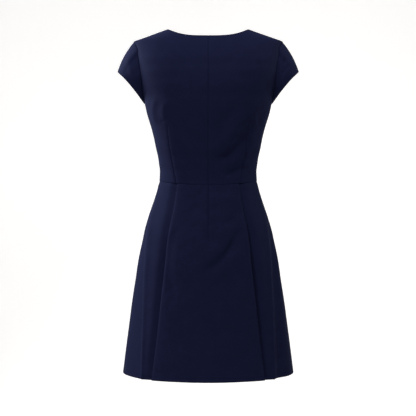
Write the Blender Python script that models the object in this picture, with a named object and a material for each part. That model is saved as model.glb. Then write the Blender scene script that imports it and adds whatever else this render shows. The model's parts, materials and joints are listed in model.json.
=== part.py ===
"""A navy a-line dress with cap sleeves, worn shape, as its cut pieces.

Metres, +Z up. The wearer faces +Y, so the back of the dress, with its zip, faces -Y, and the
wearer's left is -X. The origin is midway between the two shoulder seams, where a wearer holds it.
Each piece is a wall of cloth: its outer points lie on one worn form, which is a stack of
level sections, and its inner points lie WALL inside them.
"""

import math

import bmesh
import bpy
import numpy as np

# Cloth
WALL = 0.0012
SEAM = 0.0003
NAVY = (0.0085, 0.0092, 0.0270, 1.0)
ZIP_NAVY = (0.0065, 0.0070, 0.0190, 1.0)

# The worn form: level sections from the neck to the hem. A section is half an oval on each side
# of y = 0: "side" is its half width, "back" and "front" its depths, and "square" its exponent.
SECTIONS = {
    "height": (-0.878, -0.760, -0.640, -0.540, -0.475, -0.420, -0.395, -0.368, -0.336, -0.295,
               -0.250, -0.205, -0.163, -0.120, -0.085, -0.050, -0.016, 0.016),
    "side": (0.2220, 0.2068, 0.1900, 0.1730, 0.1560, 0.1372, 0.1300, 0.1259, 0.1277, 0.1350,
             0.1446, 0.1585, 0.1690, 0.1815, 0.1880, 0.1915, 0.1960, 0.2000),
    "back": (0.1810, 0.1645, 0.1460, 0.1265, 0.1080, 0.0925, 0.0867, 0.0845, 0.0875, 0.0945,
             0.1030, 0.1105, 0.1140, 0.1145, 0.1090, 0.0985, 0.0780, 0.0560),
    "front": (0.1720, 0.1570, 0.1410, 0.1260, 0.1165, 0.1090, 0.1060, 0.1050, 0.1090, 0.1200,
              0.1360, 0.1420, 0.1290, 0.0980, 0.0740, 0.0620, 0.0520, 0.0430),
    "square": (2.00, 2.02, 2.05, 2.10, 2.15, 2.20, 2.25, 2.25, 2.28, 2.32,
               2.40, 2.48, 2.52, 2.55, 2.50, 2.42, 2.32, 2.30),
}
BACK = -1.0
FRONT = 1.0

# Neck and shoulders, as (x, z). The shoulder seam lies on y = 0.
NECK_POINT = (0.1063, 0.0162)
SHOULDER_TIP = (0.1960, -0.0160)
SHOULDER_NORMAL = np.array([NECK_POINT[1] - SHOULDER_TIP[1], 0.0, SHOULDER_TIP[0] - NECK_POINT[0]])
NECK_CENTRE = {BACK: -0.0102, FRONT: -0.0850}
NECK_ROUND = {BACK: 3.3, FRONT: 2.6}

# Waist seam, which dips towards the centre
WAIST_SIDE = -0.381
WAIST_DIP = {BACK: 0.0095, FRONT: 0.0040}

# Waist darts: the foot on the waist seam and the point above it
DART_FOOT = {BACK: 0.0804, FRONT: 0.0790}
DART_POINT = {BACK: (0.1030, -0.2285), FRONT: (0.0900, -0.2450)}
DART_SINK = 0.0010

# Armhole seam: how far from the centre it runs at each height
ARMHOLE = {
    "height": (-0.179, -0.163, -0.139, -0.0995, -0.055, -0.026, -0.016),
    "back": (0.1650, 0.1672, 0.1704, 0.1750, 0.1821, 0.1885, 0.1960),
    "front": (0.1650, 0.1632, 0.1612, 0.1625, 0.1715, 0.1835, 0.1960),
}
UNDERARM = ARMHOLE["height"][0]

# Cap sleeves: the hem runs from the underarm to the sleeve's tip, as (x, z)
SLEEVE_UNDERARM = (0.1670, -0.1785)
SLEEVE_TIP = (0.2376, -0.0943)
SLEEVE_DEPTH = {BACK: 0.0460, FRONT: 0.0500}
SLEEVE_LIFT = {BACK: 0.0070, FRONT: 0.0115}
SLEEVE_CROWN = 0.0045

# Skirt
HEM = -0.878
SLIT_END = -0.528
# Knife pleats: the place of the fold edge across the dress, the depth of the underlay, and the
# slack between its layers. Soft fold: the crest outside the pleat and the hollow beyond it.
PLEATS = {
    "height": (-0.878, -0.783, -0.677, -0.576, -0.521, -0.450, -0.381),
    "fold": (0.1425, 0.1309, 0.1200, 0.1086, 0.1032, 0.0893, 0.0785),
    "underlay": (0.0280, 0.0260, 0.0235, 0.0205, 0.0185, 0.0155, 0.0120),
    "slack": (0.0016, 0.0014, 0.0012, 0.0010, 0.0008, 0.0006, 0.0004),
    "crest": (0.1635, 0.1618, 0.1597, 0.1555, 0.1520, 0.1400, 0.1250),
    "swell": (1.00, 0.95, 0.85, 0.65, 0.45, 0.10, 0.00),
}
CREST_RISE = 0.0032
CREST_WIDTH = 0.0095
HOLLOW_DROP = 0.0085
HOLLOW_WIDTH = 0.0210
HOLLOW_FROM_CREST = 0.0440
RECOVER = 0.0260

# Zip behind the centre back
ZIP_WIDTH = 0.024
ZIP_THICK = 0.0009
ZIP_BELOW_SLIT = 0.012
ZIP_BELOW_NECK = 0.004
ZIP_GAP = 0.0006

# How finely each piece is divided
BODY_ROWS = 9
ARM_ROWS = 8
INNER_COLUMNS = 6
OUTER_COLUMNS = 8
SLEEVE_ROWS = 5
SLIT_ROWS = 5
SKIRT_ROWS = 8
CENTRE_COLUMNS = 7
PANEL_COLUMNS = 10
FOLD_STEPS = 4
LAYER_STEPS = 2
ZIP_COLUMNS = 4
FINE = 96


# ---------------------------------------------------------------- smooth curves
def curve_through(places, values):
    """A smooth function through the rows of a table, given in rising order of place."""
    places, values = np.array(places), np.array(values)
    step = np.diff(places)
    rate = np.diff(values) / step
    slope = np.empty(len(values))
    slope[1:-1] = (rate[:-1] * step[1:] + rate[1:] * step[:-1]) / (step[:-1] + step[1:])
    slope[0], slope[-1] = rate[0], rate[-1]

    def at(place):
        place = np.clip(place, places[0], places[-1])
        i = np.clip(np.searchsorted(places, place) - 1, 0, len(step) - 1)
        t = (place - places[i]) / step[i]
        start = values[i] + t * step[i] * slope[i]
        end = values[i + 1] - (1 - t) * step[i] * slope[i + 1]
        ease = t * t * (3 - 2 * t)
        return start * (1 - ease) + end * ease

    return at


def columns(table, first):
    """The table's columns as smooth functions of its first column."""
    return {name: curve_through(table[first], table[name]) for name in table if name != first}


def even(points, count):
    """Places, from 0 to 1 along a run of points, that cut it into equal lengths."""
    length = np.concatenate([[0.0], np.cumsum(np.linalg.norm(np.diff(points, axis=0), axis=1))])
    place = np.linspace(0.0, 1.0, len(points))
    return np.interp(np.linspace(0.0, length[-1], count + 1), length, place)


def smooth_step(t):
    t = np.clip(t, 0.0, 1.0)
    return t * t * (3 - 2 * t)


FORM = columns(SECTIONS, "height")
SCYE = columns(ARMHOLE, "height")
PLEAT = columns(PLEATS, "height")


# ---------------------------------------------------------------- the worn form
def half_width(z):
    """Half the form's width: its sections' sides, and above them the sloping shoulder line."""
    slope = (NECK_POINT[0] - SHOULDER_TIP[0]) / (NECK_POINT[1] - SHOULDER_TIP[1])
    shoulder = SHOULDER_TIP[0] + (z - SHOULDER_TIP[1]) * slope
    return np.minimum(FORM["side"](z), np.maximum(shoulder, NECK_POINT[0]))


def depth_at(z, face):
    return FORM["back"](z) if face == BACK else FORM["front"](z)


def on_form(x, z, face):
    """The form's point at x and z, on its back or its front."""
    square = FORM["square"](z)
    across = np.clip(np.abs(x) / half_width(z), 0.0, 1.0)
    y = face * depth_at(z, face) * (1 - across ** square) ** (1 / square)
    return np.stack([x, y, z], axis=-1)


def waist_height(x, face):
    across = np.clip(np.abs(x) / half_width(WAIST_SIDE), 0.0, 1.0)
    return WAIST_SIDE - WAIST_DIP[face] * (1 - across ** 2)


def neck_height(x, face):
    rise = NECK_POINT[1] - NECK_CENTRE[face]
    return NECK_CENTRE[face] + rise * (np.abs(x) / NECK_POINT[0]) ** NECK_ROUND[face]


def armhole_point(t, face):
    """(x, z) on the armhole seam, from the underarm at 0 to the shoulder tip at 1, evenly."""
    name = "back" if face == BACK else "front"
    z = UNDERARM + (SHOULDER_TIP[1] - UNDERARM) * (1 - np.cos(np.linspace(0, math.pi, FINE))) / 2
    x = SCYE[name](z)
    place = even(on_form(x, z, face), FINE - 1)
    spread = np.interp(place, np.linspace(0, 1, FINE), np.arange(FINE))
    x = np.interp(spread, np.arange(FINE), x)
    z = np.interp(spread, np.arange(FINE), z)
    steps = np.linspace(0, 1, FINE)
    return np.stack([np.interp(t, steps, x), np.interp(t, steps, z)], axis=-1)


# ---------------------------------------------------------------- bodice panels
def side_line(face, centre_x):
    """The (x, z) lines that run up a half bodice: its centre, its dart and its side."""
    low = np.linspace(0, 1, BODY_ROWS + 1)
    high = np.linspace(0, 1, ARM_ROWS + 1)[1:]

    def stacked(x_low, foot, upper):
        z_low = foot + (UNDERARM - foot) * low
        return np.concatenate([np.stack([x_low(z_low), z_low], axis=-1), upper])

    def climbed(x_at, top):
        z = UNDERARM + (top - UNDERARM) * (1 - (1 - np.linspace(0, 1, FINE)) ** 2)
        x = x_at(z)
        place = even(on_form(x, z, face), ARM_ROWS)[1:]
        steps = np.linspace(0, 1, FINE)
        return np.stack([np.interp(place, steps, x), np.interp(place, steps, z)], axis=-1)

    point_x, point_z = DART_POINT[face]
    foot_z = float(waist_height(DART_FOOT[face], face))
    dart_x = curve_through((foot_z, point_z, -0.120, NECK_POINT[1]),
                           (DART_FOOT[face], point_x, 0.5 * (point_x + NECK_POINT[0]), NECK_POINT[0]))
    neck_z = float(neck_height(centre_x, face))
    centre_foot = float(waist_height(centre_x, face))
    centre = stacked(lambda z: np.full_like(z, centre_x), centre_foot,
                     climbed(lambda z: np.full_like(z, centre_x), neck_z))
    dart = stacked(dart_x, foot_z, climbed(dart_x, NECK_POINT[1]))
    side = stacked(half_width, WAIST_SIDE, armhole_point(high, face))
    return centre, dart, side


def patch_row(bottom, top, left, right, v, face, count):
    """One row of points of a four-sided patch of the form, evenly spaced."""
    u = np.linspace(0, 1, FINE)[:, None]
    flat = (1 - v) * bottom + v * top + (1 - u) * left + u * right
    flat -= (1 - v) * ((1 - u) * bottom[0] + u * bottom[-1]) + v * ((1 - u) * top[0] + u * top[-1])
    points = on_form(flat[:, 0], flat[:, 1], face)
    place = even(points, count)
    steps = np.linspace(0, 1, FINE)
    x = np.interp(place, steps, flat[:, 0])
    z = np.interp(place, steps, flat[:, 1])
    return on_form(x, z, face)


def half_bodice(face, centre_x=0.0):
    """Rows of points of the right half, from the waist up and from the centre out."""
    centre, dart, side = side_line(face, centre_x)
    across = np.linspace(0, 1, FINE)

    def waist(x0, x1):
        x = x0 + (x1 - x0) * np.sin(across * math.pi / 2)
        return np.stack([x, waist_height(x, face)], axis=-1)

    neck_x = centre_x + (NECK_POINT[0] - centre_x) * np.sin(across * math.pi / 2)
    neck = np.stack([neck_x, neck_height(neck_x, face)], axis=-1)
    shoulder = np.array(NECK_POINT) + across[:, None] * (np.array(SHOULDER_TIP) - NECK_POINT)
    rows = []
    total = BODY_ROWS + ARM_ROWS
    for j in range(total + 1):
        v = j / total
        inner = patch_row(waist(centre_x, dart[0][0]), neck, centre[j], dart[j], v, face, INNER_COLUMNS)
        outer = patch_row(waist(dart[0][0], side[0][0]), shoulder, dart[j], side[j], v, face, OUTER_COLUMNS)
        rows.append(np.concatenate([inner, outer[1:]]))
    return np.array(rows)


# ---------------------------------------------------------------- walls
def outward(points):
    """Unit normals of a sheet of points, rows first, from the directions of its neighbours."""
    def along(axis):
        step = np.diff(points, axis=axis)
        step /= np.maximum(np.linalg.norm(step, axis=-1, keepdims=True), 1e-9)
        pad = [(0, 0)] * 3
        pad[axis] = (1, 1)
        step = np.pad(step, pad, mode="edge")
        lower = np.take(step, range(step.shape[axis] - 1), axis=axis)
        upper = np.take(step, range(1, step.shape[axis]), axis=axis)
        return lower + upper

    normal = np.cross(along(0), along(1))
    return normal / np.linalg.norm(normal, axis=-1, keepdims=True)


def level(normals, axis):
    """The same normals, turned square to an axis."""
    flat = normals.copy()
    flat[..., axis] = 0.0
    return flat / np.linalg.norm(flat, axis=-1, keepdims=True)


def wall_object(name, outer, inner, skip=None, colour=NAVY):
    """A closed wall between two sheets of points: a grid, extruded from one sheet to the other."""
    rows, across = outer.shape[:2]
    bm = bmesh.new()
    bmesh.ops.create_grid(bm, x_segments=across - 1, y_segments=rows - 1, size=1.0)
    bm.verts.ensure_lookup_table()
    for k, vert in enumerate(bm.verts):
        vert.co = outer[k // across, k % across]
    bm.verts.index_update()
    if skip is not None:
        loose = [f for f in bm.faces if skip({divmod(v.index, across) for v in f.verts})]
        bmesh.ops.delete(bm, geom=loose, context="FACES")
    place = {tuple(v.co): divmod(v.index, across) for v in bm.verts}
    moved = bmesh.ops.extrude_face_region(bm, geom=bm.faces[:], use_keep_orig=True)
    for vert in (g for g in moved["geom"] if isinstance(g, bmesh.types.BMVert)):
        vert.co = inner[place[tuple(vert.co)]]
    bmesh.ops.triangulate(bm, faces=bm.faces, quad_method="SHORT_EDGE")
    bmesh.ops.recalc_face_normals(bm, faces=bm.faces)
    mesh = bpy.data.meshes.new(name)
    bm.to_mesh(mesh)
    bm.free()
    mesh.shade_smooth()
    mesh.set_sharp_from_angle(angle=math.radians(50))
    obj = bpy.data.objects.new(name, mesh)
    mesh.materials.append(cloth_material(name, colour))
    bpy.data.collections["a-line dress"].objects.link(obj)
    return obj


def cloth_material(name, colour):
    material = bpy.data.materials.new(f"{name} cloth")
    material.use_nodes = True
    shader = material.node_tree.nodes["Principled BSDF"]
    shader.inputs["Base Color"].default_value = colour
    shader.inputs["Roughness"].default_value = 0.85
    shader.inputs["Metallic"].default_value = 0.0
    shader.inputs["Sheen Weight"].default_value = 0.25
    return material


def mirrored(points):
    """The same sheet on the other side of the dress, its columns in rising x."""
    return points[:, ::-1] * np.array([-1.0, 1.0, 1.0])


# ---------------------------------------------------------------- pieces: bodice
def bodice_sheets(face, centre_x=0.0):
    """The outer points of a right half bodice and the unit normals its wall follows."""
    outer = half_bodice(face, centre_x)
    normal = outward(outer) * face
    dart = outer[:, INNER_COLUMNS]
    taper = smooth_step((DART_POINT[face][1] - dart[:, 2]) / (DART_POINT[face][1] - WAIST_SIDE))
    dart -= DART_SINK * taper[:, None] * normal[:, INNER_COLUMNS]
    normal[:, 0] = level(normal[:, 0], 0)
    normal[0] = level(normal[0], 2)
    normal[:BODY_ROWS + 1, -1] = level(normal[:BODY_ROWS + 1, -1], 1)
    normal[-1, INNER_COLUMNS:] = SHOULDER_NORMAL / np.linalg.norm(SHOULDER_NORMAL)
    outer[0, :, 2] += SEAM / 2
    outer[:BODY_ROWS + 1, -1, 1] = face * SEAM / 2
    outer[-1, INNER_COLUMNS:, 1] = face * SEAM / 2
    return outer, normal


def bodice_wall(outer, normal, face):
    """The inner points of a bodice piece, kept on its own side of the side and shoulder seams."""
    inner = outer - WALL * normal
    inner[..., 1] = face * np.maximum(inner[..., 1] * face, SEAM / 2)
    return inner


def make_back_bodice():
    outer, normal = bodice_sheets(BACK, SEAM / 2)
    inner = bodice_wall(outer, normal, BACK)
    wall_object("back_bodice_right", outer, inner)
    wall_object("back_bodice_left", mirrored(outer), mirrored(inner))


def make_front_bodice():
    outer, normal = bodice_sheets(FRONT)
    inner = bodice_wall(outer, normal, FRONT)
    wall_object("front_bodice", np.concatenate([mirrored(outer), outer[:, 1:]], axis=1),
                np.concatenate([mirrored(inner), inner[:, 1:]], axis=1))


# ---------------------------------------------------------------- pieces: sleeves
def sleeve_hem(face):
    """The sleeve hem from the underarm to the tip: half an oval in a plane that leans outwards."""
    turn = np.linspace(0, math.pi, ARM_ROWS + 1)
    out = (1 - np.cos(turn))[:, None] / 2
    line = np.array(SLEEVE_UNDERARM) + out * (np.array(SLEEVE_TIP) - SLEEVE_UNDERARM)
    y = face * SLEEVE_DEPTH[face] * np.sin(turn)
    return np.stack([line[:, 0], y, line[:, 1] + SLEEVE_LIFT[face] * np.sin(turn) ** 2], axis=-1)


def make_sleeves():
    seam, seam_normal, hem = [], [], []
    for face in (BACK, FRONT):
        outer, normal = bodice_sheets(face, SEAM / 2 if face == BACK else 0.0)
        seam.append(outer[BODY_ROWS:, -1])
        seam_normal.append(normal[BODY_ROWS:, -1])
        hem.append(sleeve_hem(face))
    seam = np.concatenate([seam[0][:-1], [(seam[0][-1] + seam[1][-1]) / 2], seam[1][-2::-1]])
    seam_normal = np.concatenate([seam_normal[0], seam_normal[1][-2::-1]])
    hem = np.concatenate([hem[0], hem[1][-2::-1]])
    length = np.linalg.norm(hem - seam, axis=-1, keepdims=True)
    clear = np.cross(np.gradient(seam, axis=0), seam_normal)
    seam = seam + SEAM * clear / np.linalg.norm(clear, axis=-1, keepdims=True)
    down = np.linspace(0, 1, SLEEVE_ROWS + 1)[:, None, None]
    flat = seam + down * (hem - seam)
    swell = 4 * down * (1 - down) * SLEEVE_CROWN * length / length.max()
    outer = flat + swell * outward(flat)
    normal = outward(outer)
    normal[0] = seam_normal
    outer[:, 0, 1] = -SEAM / 2
    outer[:, -1, 1] = SEAM / 2
    normal[:, [0, -1]] = level(normal[:, [0, -1]], 1)
    inner = outer - WALL * normal
    wall_object("sleeve_right", outer, inner)
    wall_object("sleeve_left", mirrored(outer), mirrored(inner))


# ---------------------------------------------------------------- pieces: skirt
def skirt_section(face, down):
    """Fine points and normals of the skirt's form at one level, from the centre to the side."""
    z_side = WAIST_SIDE + (HEM - WAIST_SIDE) * down
    turn = np.linspace(0, math.pi / 2, 4 * FINE)
    z = z_side - WAIST_DIP[face] * (1 - down) ** 2 * np.cos(turn) ** 2
    line = on_form(half_width(z) * np.sin(turn), z, face)
    length = run_length(line)
    normal = side_normals(line, face)
    crest = np.interp(PLEAT["crest"](z_side), line[:, 0], length)
    relief = CREST_RISE * hump(length, crest, CREST_WIDTH)
    relief -= HOLLOW_DROP * hump(length, crest + HOLLOW_FROM_CREST, HOLLOW_WIDTH)
    line = line + (PLEAT["swell"](z_side) * relief)[:, None] * normal
    return line, z_side


def run_length(line):
    return np.concatenate([[0.0], np.cumsum(np.linalg.norm(np.diff(line, axis=0), axis=1))])


def hump(place, middle, width):
    return np.exp(-0.5 * ((place - middle) / width) ** 2)


def side_normals(line, face, mitred=False):
    """Level normals along a run of points that goes outwards, square to it at every point."""
    step = np.diff(line[:, :2], axis=0)
    step /= np.linalg.norm(step, axis=1, keepdims=True)
    step = np.concatenate([step[:1], step, step[-1:]])
    both = step[1:] + step[:-1]
    size = np.linalg.norm(both, axis=1, keepdims=True)
    both /= size
    if mitred:
        both *= 2 / size
    return face * np.stack([-both[:, 1], both[:, 0], np.zeros(len(both))], axis=-1)


def skirt_row(face, down, centre_x):
    """One row of a right half skirt: centre panel, knife pleat, side panel."""
    line, z = skirt_section(face, down)
    length = run_length(line)
    normal = side_normals(line, face)
    slack = PLEAT["slack"](z)
    bend = WALL + slack / 2
    tuck = slack
    fold = np.interp(PLEAT["fold"](z), line[:, 0], length) - bend
    back_fold = fold - PLEAT["underlay"](z)
    first = 2 * bend
    second = first + tuck
    start = np.interp(centre_x, line[:, 0], length)
    along = [start + (fold - start) * k / CENTRE_COLUMNS for k in range(CENTRE_COLUMNS + 1)]
    under = [0.0] * (CENTRE_COLUMNS + 1)
    for k in range(1, FOLD_STEPS + 1):
        turn = math.pi * k / FOLD_STEPS
        along.append(fold + bend * math.sin(turn))
        under.append(bend * (1 - math.cos(turn)))
    for k in range(1, LAYER_STEPS + 1):
        along.append(fold + (back_fold - fold) * k / LAYER_STEPS)
        under.append(first)
    for k in range(1, FOLD_STEPS + 1):
        turn = math.pi * k / FOLD_STEPS
        along.append(back_fold - tuck / 2 * math.sin(turn))
        under.append(first + tuck / 2 * (1 - math.cos(turn)))
    for k in range(1, LAYER_STEPS + 1):
        along.append(back_fold + (fold + bend - back_fold) * k / LAYER_STEPS)
        under.append(second)
    edge = fold + bend
    for k in range(1, PANEL_COLUMNS + 1):
        place = edge + (length[-1] - edge) * k / PANEL_COLUMNS
        along.append(place)
        under.append(second * (1 - float(smooth_step((place - edge) / RECOVER))))
    along, under = np.array(along), np.array(under)
    here = np.stack([np.interp(along, length, line[:, i]) for i in range(3)], axis=-1)
    way = np.stack([np.interp(along, length, normal[:, i]) for i in range(3)], axis=-1)
    return here - under[:, None] * way / np.linalg.norm(way, axis=-1, keepdims=True)


def skirt_half(face, centre_x):
    """Rows of outer and inner points of a right half skirt, from the waist down."""
    slit = (SLIT_END - WAIST_SIDE) / (HEM - WAIST_SIDE)
    levels = np.concatenate([np.linspace(0, slit, SLIT_ROWS + 1),
                             np.linspace(slit, 1, SKIRT_ROWS + 1)[1:]])
    outer = np.array([skirt_row(face, down, centre_x) for down in levels])
    normal = np.array([side_normals(row, face, mitred=True) for row in outer])
    normal[:, 0] = (0.0, face, 0.0)
    normal[:, -1] = (1.0, 0.0, 0.0)
    outer[:, 0, 0] = centre_x
    outer[:, -1, 1] = face * SEAM / 2
    outer[0, :, 2] -= SEAM / 2
    return outer, outer - WALL * normal


def make_skirt_back():
    outer, inner = skirt_half(BACK, SEAM / 2)
    middle = outer.shape[1] - 1

    def in_slit(corners):
        return (max(row for row, _ in corners) <= SLIT_ROWS
                and {column for _, column in corners} == {middle, middle + 1})

    wall_object("skirt_back", np.concatenate([mirrored(outer), outer], axis=1),
                np.concatenate([mirrored(inner), inner], axis=1), skip=in_slit)


def make_skirt_front():
    outer, inner = skirt_half(FRONT, 0.0)
    wall_object("skirt_front", np.concatenate([mirrored(outer), outer[:, 1:]], axis=1),
                np.concatenate([mirrored(inner), inner[:, 1:]], axis=1))


# ---------------------------------------------------------------- pieces: zip
def make_zip():
    """The zip's tape, along the inside of the centre back from the neck to below the slit."""
    skirt = skirt_half(BACK, SEAM / 2)[0][1:SLIT_ROWS + 1, 0, 2][::-1]
    bodice = half_bodice(BACK, SEAM / 2)[:-1, 0, 2]
    top = NECK_CENTRE[BACK] - ZIP_BELOW_NECK
    heights = np.concatenate([[SLIT_END - ZIP_BELOW_SLIT], skirt, bodice, [top]])
    across = np.linspace(-ZIP_WIDTH / 2, ZIP_WIDTH / 2, ZIP_COLUMNS + 1)
    x, z = np.meshgrid(across, heights)
    face = on_form(x, z, BACK)
    normal = -outward(face)
    outer = face - (WALL + ZIP_GAP) * normal
    wall_object("zip", outer, outer - ZIP_THICK * normal, colour=ZIP_NAVY)


def make_dress():
    for obj in list(bpy.data.objects):
        bpy.data.objects.remove(obj, do_unlink=True)
    collection = bpy.data.collections.new("a-line dress")
    bpy.context.scene.collection.children.link(collection)
    make_back_bodice()
    make_front_bodice()
    make_sleeves()
    make_skirt_back()
    make_skirt_front()
    make_zip()


make_dress()
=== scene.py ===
# %% [markdown]
# # A navy a-line dress, as worn
#
# This notebook dresses a rigid model of a short a-line dress in cloth. The dress is cut from
# eight pieces: two back bodice halves, a front bodice, two cap sleeves, two skirt panels and a
# zip. The rigid model is the frame, and it is never moved. Each cut piece gets a thin sheet of
# cloth on the same worn form, with its seams, darts, pleats, creases and turned hems.

# %% The frame
import json
import math

import bmesh
import bpy
import numpy as np
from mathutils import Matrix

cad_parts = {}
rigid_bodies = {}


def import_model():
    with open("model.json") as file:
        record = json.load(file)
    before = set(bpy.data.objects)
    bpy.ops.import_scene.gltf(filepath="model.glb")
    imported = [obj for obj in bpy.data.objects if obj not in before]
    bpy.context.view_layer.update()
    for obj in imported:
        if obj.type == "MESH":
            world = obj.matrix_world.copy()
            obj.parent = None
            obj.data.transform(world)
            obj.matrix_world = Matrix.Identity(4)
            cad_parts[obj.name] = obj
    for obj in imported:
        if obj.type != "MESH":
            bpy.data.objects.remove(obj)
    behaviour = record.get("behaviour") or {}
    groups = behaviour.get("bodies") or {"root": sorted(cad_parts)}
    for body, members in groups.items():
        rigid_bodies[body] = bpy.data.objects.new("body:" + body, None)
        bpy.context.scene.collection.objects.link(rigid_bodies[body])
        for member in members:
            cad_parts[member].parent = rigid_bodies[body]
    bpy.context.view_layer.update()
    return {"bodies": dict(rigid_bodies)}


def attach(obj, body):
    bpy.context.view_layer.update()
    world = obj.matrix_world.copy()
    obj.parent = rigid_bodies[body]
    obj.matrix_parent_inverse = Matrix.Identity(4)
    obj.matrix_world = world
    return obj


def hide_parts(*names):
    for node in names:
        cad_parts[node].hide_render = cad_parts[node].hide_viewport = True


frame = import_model()
BODY = list(frame["bodies"])[0]

# %% [markdown]
# ## Camera
#
# The dress is seen from behind, level with a point just below its waist, from about three
# metres away. A long lens keeps its outline straight. A small shift puts the dress where it belongs in
# the picture without tilting the camera, so upright lines stay upright.

# %% Camera
CAMERA_AWAY = 2.9
CAMERA_HEIGHT = -0.42
LENS_MM = 95.8
PICTURE = 416
SHIFT_X_PIXELS = 0.2
SHIFT_Y_PIXELS = 11.5

camera_data = bpy.data.cameras.new("camera")
camera_data.lens = LENS_MM
camera_data.sensor_width = 36.0
camera_data.shift_x = -SHIFT_X_PIXELS / PICTURE
camera_data.shift_y = -SHIFT_Y_PIXELS / PICTURE
camera = bpy.data.objects.new("camera", camera_data)
camera.location = (0.0, -CAMERA_AWAY, CAMERA_HEIGHT)
camera.rotation_euler = (math.radians(90), 0.0, 0.0)
bpy.context.scene.collection.objects.link(camera)
bpy.context.scene.camera = camera
print("camera", CAMERA_AWAY, "m behind the dress, lens", LENS_MM, "mm")

# %% [markdown]
# ## Smooth tables
#
# A worn dress has no straight lines, yet a few measured sections are enough to describe it.
# `curve_through` draws a smooth curve through the rows of a table, so that a section can be
# asked for at any height. Splines through every vertex would hide the sizes that matter.

# %% Smooth curves through short tables
def curve_through(places, values):
    """A smooth function through the rows of a table, given in rising order of place."""
    places, values = np.array(places), np.array(values)
    step = np.diff(places)
    rate = np.diff(values) / step
    slope = np.empty(len(values))
    slope[1:-1] = (rate[:-1] * step[1:] + rate[1:] * step[:-1]) / (step[:-1] + step[1:])
    slope[0], slope[-1] = rate[0], rate[-1]

    def at(place):
        place = np.clip(place, places[0], places[-1])
        i = np.clip(np.searchsorted(places, place) - 1, 0, len(step) - 1)
        t = (place - places[i]) / step[i]
        start = values[i] + t * step[i] * slope[i]
        end = values[i + 1] - (1 - t) * step[i] * slope[i + 1]
        ease = t * t * (3 - 2 * t)
        return start * (1 - ease) + end * ease

    return at


def columns(table, first):
    """The table's columns as smooth functions of its first column."""
    return {name: curve_through(table[first], table[name]) for name in table if name != first}


# %% Steps, humps and lengths
def smooth_step(t):
    t = np.clip(t, 0.0, 1.0)
    return t * t * (3 - 2 * t)


def hump(place, middle, width):
    return np.exp(-0.5 * ((place - middle) / width) ** 2)


def unit(vectors):
    return vectors / np.maximum(np.linalg.norm(vectors, axis=-1, keepdims=True), 1e-9)


def run_length(line):
    return np.concatenate([[0.0], np.cumsum(np.linalg.norm(np.diff(line, axis=0), axis=1))])


print("a hump is", round(float(hump(1.0, 0.0, 1.0)), 2), "high one width from its middle")

# %% [markdown]
# ## The worn form
#
# Every piece lies on one form: level sections, each half an oval at the back and half an oval
# at the front. The table gives their half widths and depths from the hem to the neck, and how
# square each oval is: 2 is an ellipse. The shoulders are the sloping line that cuts the
# sections off at the top. Places on the form are an angle round it and a height.

# %% Sizes of the worn form
SECTIONS = {
    "height": (-0.878, -0.760, -0.640, -0.540, -0.475, -0.420, -0.395, -0.368, -0.336, -0.295,
               -0.250, -0.205, -0.163, -0.120, -0.085, -0.050, -0.016, 0.016),
    "side": (0.2228, 0.2078, 0.1908, 0.1735, 0.1574, 0.1384, 0.1311, 0.1267, 0.1284, 0.1360,
             0.1458, 0.1594, 0.1690, 0.1815, 0.1880, 0.1915, 0.1960, 0.2000),
    "back": (0.1810, 0.1645, 0.1460, 0.1265, 0.1080, 0.0925, 0.0867, 0.0845, 0.0875, 0.0945,
             0.1030, 0.1105, 0.1140, 0.1145, 0.1090, 0.0985, 0.0780, 0.0560),
    "front": (0.1720, 0.1570, 0.1410, 0.1260, 0.1165, 0.1090, 0.1060, 0.1050, 0.1090, 0.1200,
              0.1360, 0.1420, 0.1290, 0.0980, 0.0740, 0.0620, 0.0520, 0.0430),
    "square": (2.00, 2.02, 2.05, 2.10, 2.15, 2.20, 2.25, 2.25, 2.28, 2.32,
               2.40, 2.48, 2.52, 2.55, 2.50, 2.42, 2.32, 2.30),
}
FORM = columns(SECTIONS, "height")
BACK = -1.0
FRONT = 1.0
NECK_POINT = (0.1063, 0.0162)
SHOULDER_TIP = (0.1960, -0.0160)
NECK_CENTRE = {BACK: -0.0078, FRONT: -0.0850}
NECK_ROUND = {BACK: 3.3, FRONT: 2.6}
WAIST_SIDE = -0.381
WAIST_DIP = {BACK: 0.0095, FRONT: 0.0040}
DART_FOOT = {BACK: 0.0804, FRONT: 0.0790}
DART_POINT = {BACK: (0.1030, -0.2285), FRONT: (0.0900, -0.2450)}
ARMHOLE = {
    "height": (-0.179, -0.163, -0.139, -0.0995, -0.055, -0.026, -0.016),
    "back": (0.1650, 0.1672, 0.1704, 0.1750, 0.1821, 0.1885, 0.1960),
    "front": (0.1650, 0.1632, 0.1612, 0.1625, 0.1715, 0.1835, 0.1960),
}
SCYE = columns(ARMHOLE, "height")
UNDERARM = ARMHOLE["height"][0]
print("form from", SECTIONS["height"][0], "to", SECTIONS["height"][-1], "m")


# %% Points and normals on the form
TURN_STEP = 0.002
HEIGHT_STEP = 0.0005


def half_width(z):
    """Half the form's width: its sections' sides, and above them the sloping shoulder line."""
    slope = (NECK_POINT[0] - SHOULDER_TIP[0]) / (NECK_POINT[1] - SHOULDER_TIP[1])
    shoulder = SHOULDER_TIP[0] + (z - SHOULDER_TIP[1]) * slope
    return np.minimum(FORM["side"](z), np.maximum(shoulder, NECK_POINT[0]))


def on_form(x, z, face):
    """The form's point at x and z, on its back or its front."""
    square = FORM["square"](z)
    across = np.clip(np.abs(x) / half_width(z), 0.0, 1.0)
    depth = FORM["back"](z) if face == BACK else FORM["front"](z)
    return np.stack([x, face * depth * (1 - across ** square) ** (1 / square), z], axis=-1)


def turned_to(turn, z, face):
    """The form's point at an angle round it, from 0 at the centre to a right angle at the side."""
    return on_form(half_width(z) * np.sin(turn), z, face)


def turn_of(x, z):
    return np.arcsin(np.clip(x / half_width(z), 0.0, 1.0))


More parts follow.
